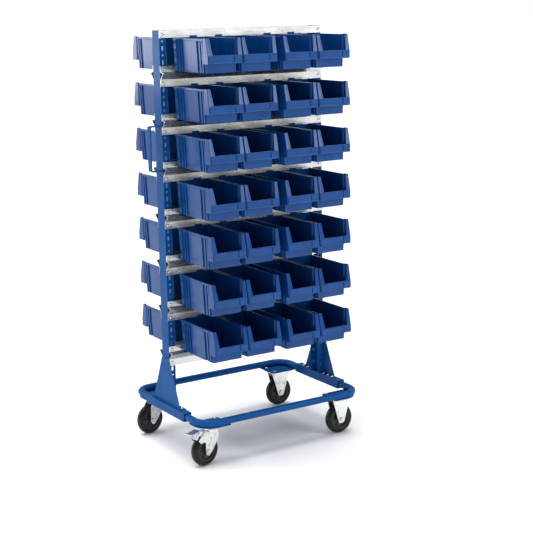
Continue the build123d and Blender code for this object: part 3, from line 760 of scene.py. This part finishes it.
def castors():
    """Two swivelling castors at the handle end, the front one with a brake, and two fixed ones."""
    for end, side in SIDES:
        swivel_castor(f"{end}_left", side, side < 0)
        fixed_castor(f"{end}_right", side)
    brake_pedal()
    brake_rivet()


# Fasteners

# A screw is drawn along Z, with the face that its head rests on at Z = 0.
ROUND_SIDES = 24
SHANK_SIDES = 14
RAIL_SCREW = {"head_radius": 6.2 * MM, "head_height": 3.1 * MM, "radius": 2.9 * MM,
              "nut_radius": 5.4 * MM, "nut_height": 4.4 * MM}
BASE_BOLT = {"head_radius": 6.9 * MM, "head_height": 4.9 * MM, "radius": 3.9 * MM,
             "nut_radius": 6.4 * MM, "nut_height": 6.4 * MM}
NUT_TAIL = 1.5 * MM
SCREW_X = 361.5 * MM
SCREW_GRIP = 4.0 * MM
STRIP_SCREW_LIFT = 14 * MM
FLANGE_SCREW_LIFT = STRIP_SCREW_LIFT + 2 * ROW_PITCH / HOLES_PER_ROW
FOOT_BOLT_X = 365.5 * MM
FOOT_BOLT_PLACES = (-105, -75, -45, 45, 75, 105)
FOOT_WALL = 3 * MM
FOOT_GRIP = 5.8 * MM
CASTOR_BOLT_X = 40 * MM
CASTOR_BOLT_Y = 33 * MM
CASTOR_GRIP = 9 * MM
OUTER_SCREW_LENGTH = 8.6 * MM
CORNER_PLATE_WALL = 5 * MM
AXLE_RADIUS = 5.95 * MM
AXLE_WASHER = 9.4 * MM
AXLE_NUT = 8.4 * MM
WASHER_OUT = 25 * MM
AXLE_NUT_OUT = 30.4 * MM


def rod(bm, radius, low, high, sides):
    """A closed round or many-sided bar along Z between two heights."""
    made = bmesh.ops.create_cone(bm, cap_ends=True, segments=sides, radius1=radius, radius2=radius,
                                 depth=high - low)["verts"]
    bmesh.ops.translate(bm, vec=(0, 0, (low + high) / 2), verts=made)
    return made


def flat_end(verts, height):
    """The end face of a bar at one height."""
    faces = {face for vert in verts for face in vert.link_faces}
    return [f for f in faces if all(abs(v.co.z - height) < CLOSE for v in f.verts)]


def domed_head(bm, radius, height):
    """A low head on the plane Z = 0 with a sloping shoulder and a round recess."""
    skirt, crown, crown_share = 0.45 * height, 0.4 * height, 0.8
    brim, rise = 0.22 * radius, 0.15 * height
    recess_rim, recess_depth = 0.2 * radius, 0.5 * height
    top = flat_end(rod(bm, radius, 0.0, skirt, ROUND_SIDES), skirt)
    grown = bmesh.ops.extrude_face_region(bm, geom=top)["geom"]
    cap = [g for g in grown if isinstance(g, bmesh.types.BMVert)]
    bmesh.ops.translate(bm, vec=(0, 0, crown), verts=cap)
    bmesh.ops.scale(bm, vec=(crown_share, crown_share, 1), verts=cap)
    face = [g for g in grown if isinstance(g, bmesh.types.BMFace)]
    bmesh.ops.delete(bm, geom=top, context="FACES_ONLY")
    bmesh.ops.inset_region(bm, faces=face, thickness=brim, depth=rise)
    bmesh.ops.inset_region(bm, faces=face, thickness=recess_rim, depth=0)
    recess = list({v for f in face for v in f.verts})
    bmesh.ops.translate(bm, vec=(0, 0, -recess_depth), verts=recess)


def eased_bar(bm, radius, low, high, sides, offset, segments):
    """A bar with the edges of both its ends taken off."""
    made = rod(bm, radius, low, high, sides)
    rims = {e for v in made for e in v.link_edges if abs(e.verts[0].co.z - e.verts[1].co.z) < CLOSE}
    ease(bm, rims, offset, segments)


def hex_block(bm, radius, low, high):
    """A six-sided nut or head."""
    eased_bar(bm, radius, low, high, 6, 0.09 * radius, 2)


def washer(bm, radius, low, high):
    """A flat washer."""
    eased_bar(bm, radius, low, high, ROUND_SIDES, 0.2 * (high - low), 1)


def set_in(bm, before, place, outwards):
    """Turns what was just made so that its +Z points outwards, and moves it into place."""
    turn = Vector(outwards).to_track_quat("Z", "Y").to_matrix().to_4x4()
    bmesh.ops.transform(bm, matrix=Matrix.Translation(Vector(place)) @ turn, verts=newest(bm, before))


def screw_with_nut(bm, place, outwards, grip, head_radius, head_height, radius, nut_radius, nut_height):
    """A domed screw whose head rests at place, with its nut behind what it holds."""
    before = set(bm.verts)
    domed_head(bm, head_radius, head_height)
    rod(bm, radius, -grip - nut_height - NUT_TAIL, 0.0, SHANK_SIDES)
    hex_block(bm, nut_radius, -grip - nut_height, -grip)
    set_in(bm, before, place, outwards)


def rail_fasteners():
    """The screws that hold every rail and both top strips to the uprights."""
    bm = bmesh.new()
    for side in (-1, 1):
        for level in range(ROW_COUNT + 1):
            base = rail_low.z + (MIDDLE_ROW - level) * ROW_PITCH
            for lift in (STRIP_SCREW_LIFT, FLANGE_SCREW_LIFT) if level else (STRIP_SCREW_LIFT,):
                for end in (-1, 1):
                    place = (rack_middle + end * SCREW_X, side * RAIL_FACE, base + lift)
                    screw_with_nut(bm, place, (0, side, 0), SCREW_GRIP, **RAIL_SCREW)
    finished(bm, "rail_fasteners", "zinc_fastener", "frame", ("rail_screws",))


def foot_fasteners():
    """The bolts that go down through the flanges of both feet into the sleeves."""
    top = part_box("foot_bracket_left")[0].z + FOOT_WALL
    bm = bmesh.new()
    for end in (-1, 1):
        for y in FOOT_BOLT_PLACES:
            place = (rack_middle + end * FOOT_BOLT_X, y * MM, top)
            screw_with_nut(bm, place, (0, 0, 1), FOOT_GRIP, **BASE_BOLT)
    finished(bm, "foot_fasteners", "zinc_fastener", "frame", ("foot_bolts",))


def outer_plate_screw(bm, place):
    """A short hexagon screw from below, with its head under the castor plate."""
    before = set(bm.verts)
    hex_block(bm, BASE_BOLT["head_radius"], 0.0, BASE_BOLT["head_height"])
    rod(bm, BASE_BOLT["radius"], -OUTER_SCREW_LENGTH, 0.0, SHANK_SIDES)
    set_in(bm, before, place, (0, 0, -1))


def castor_fasteners():
    """Bolts of the castor plates: domed with nuts below on the inner side, short screws on the outer."""
    top = CASTOR_TOP + CORNER_PLATE_WALL
    bm = bmesh.new()
    for end in (-1, 1):
        for side in (-1, 1):
            for half in (-1, 1):
                y = side * CASTOR_Y + half * CASTOR_BOLT_Y
                inner = (rack_middle + end * (CASTOR_X - CASTOR_BOLT_X), y, top)
                outer = (rack_middle + end * (CASTOR_X + CASTOR_BOLT_X), y, CASTOR_TOP - PLATE_WALL)
                screw_with_nut(bm, inner, (0, 0, 1), CASTOR_GRIP, **BASE_BOLT)
                outer_plate_screw(bm, outer)
    finished(bm, "castor_fasteners", "zinc_fastener", "frame", ("castor_bolts",))


def axle_fasteners():
    """Wheel axles with a washer and a hexagon nut or head at each end."""
    for place, body in (("front_left", "fork_front_left"), ("rear_left", "fork_rear_left"),
                        ("front_right", "frame"), ("rear_right", "frame")):
        low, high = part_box(f"axle_{place}")
        bm = bmesh.new()
        rod(bm, AXLE_RADIUS, -WASHER_OUT, WASHER_OUT, ROUND_SIDES)
        for side in (-1, 1):
            washer(bm, AXLE_WASHER, *between(side, LEG_OUT, WASHER_OUT))
            hex_block(bm, AXLE_NUT, *between(side, WASHER_OUT, AXLE_NUT_OUT))
        turn = wheel_turn(place)
        set_in(bm, set(), (low + high) / 2, (-sin(turn), cos(turn), 0))
        finished(bm, f"axle_bolt_{place}", "zinc_fastener", body, (f"axle_{place}",))


# Stage, light and camera

def pale_floor():
    """A plain matt floor."""
    bm = bmesh.new()
    bmesh.ops.create_grid(bm, x_segments=1, y_segments=1, size=60.0)
    mesh = bpy.data.meshes.new("studio_floor")
    bm.to_mesh(mesh)
    bm.free()
    finish, _, shader = new_finish("pale_floor")
    shader.inputs["Base Color"].default_value = (0.97, 0.97, 0.97, 1.0)
    shader.inputs["Roughness"].default_value = 0.9
    mesh.materials.append(finish)
    floor = bpy.data.objects.new("studio_floor", mesh)
    bpy.context.scene.collection.objects.link(floor)


def surround():
    """A surround that is white up to the horizon and a little above it, and grey overhead."""
    white, grey = (1.0, 1.0, 1.0), (0.36, 0.37, 0.38)
    world = bpy.data.worlds.new("studio_surround")
    world.use_nodes = True
    tree = world.node_tree
    place = tree.nodes.new("ShaderNodeTexCoord")
    parts = tree.nodes.new("ShaderNodeSeparateXYZ")
    tree.links.new(place.outputs["Generated"], parts.inputs["Vector"])
    lift = spread(tree, parts.outputs["Z"], -1.0, 1.0, 0.0, 1.0)
    shade = ramp(tree, lift, [(0.52, white), (0.62, grey)])
    tree.links.new(shade, tree.nodes["Background"].inputs["Color"])
    bpy.context.scene.world = world


def lamp(name, kind, place, aim, energy, colour=(1.0, 1.0, 1.0)):
    """A lamp that points from its place at what it lights and doesn't show itself."""
    light = bpy.data.lights.new(name, kind)
    light.energy = energy
    light.color = colour
    holder = bpy.data.objects.new(name, light)
    holder.location = place
    holder.rotation_mode = "QUATERNION"
    holder.rotation_quaternion = (Vector(aim) - Vector(place)).to_track_quat("-Z", "Y")
    holder.visible_camera = False
    bpy.context.scene.collection.objects.link(holder)
    return light


def softbox(name, place, aim, energy, width, height):
    """A soft rectangular lamp."""
    light = lamp(name, "AREA", place, aim, energy)
    light.shape = "RECTANGLE"
    light.size = width
    light.size_y = height


def studio():
    """Pale floor and surround, soft light from overhead, from the left rear and from the right front."""
    pale_floor()
    surround()
    sun = lamp("high_sun", "SUN", place=(-0.5, 0.4, 4.2), aim=(0, 0, 0), energy=3.1,
               colour=(1.0, 0.99, 0.98))
    sun.angle = radians(55.0)
    softbox("left_rear_softbox", place=(-2.6, 3.7, 1.65), aim=(0, 0, 1.3), energy=32.0,
            width=2.2, height=1.1)
    softbox("high_right_softbox", place=(2.4, -3.9, 2.75), aim=(0, 0, 1.2), energy=58.0,
            width=1.8, height=1.4)


def photo_camera():
    """The camera at the photograph's place, fitted to points of the cart; focal is in pixels."""
    azimuth, pitch, roll = radians(-32.53), radians(10.82), 0.0171
    place = Vector((rack_middle - 2681 * MM, -4380 * MM, 1802 * MM))
    focal, photo_width, sensor = 1275.0, 533.0, 36.0
    forward = Vector((-sin(azimuth) * cos(pitch), cos(azimuth) * cos(pitch), -sin(pitch)))
    right = Vector((cos(azimuth), sin(azimuth), 0.0))
    up = right.cross(forward)
    right, up = cos(roll) * right - sin(roll) * up, sin(roll) * right + cos(roll) * up
    data = bpy.data.cameras.new("photo_camera")
    data.sensor_width = sensor
    data.lens = focal / photo_width * sensor
    data.shift_y = -0.05
    data.clip_start, data.clip_end = 0.05, 200.0
    camera = bpy.data.objects.new("photo_camera", data)
    turn = Matrix((right, up, -forward)).transposed().to_4x4()
    camera.matrix_world = Matrix.Translation(place) @ turn
    bpy.context.scene.collection.objects.link(camera)
    bpy.context.scene.camera = camera


dress_cad_parts()
photo_camera()
studio()
bpy.context.scene.view_settings.view_transform = "Standard"
bin_rows()
wheels()
castors()
rail_fasteners()
foot_fasteners()
castor_fasteners()
axle_fasteners()
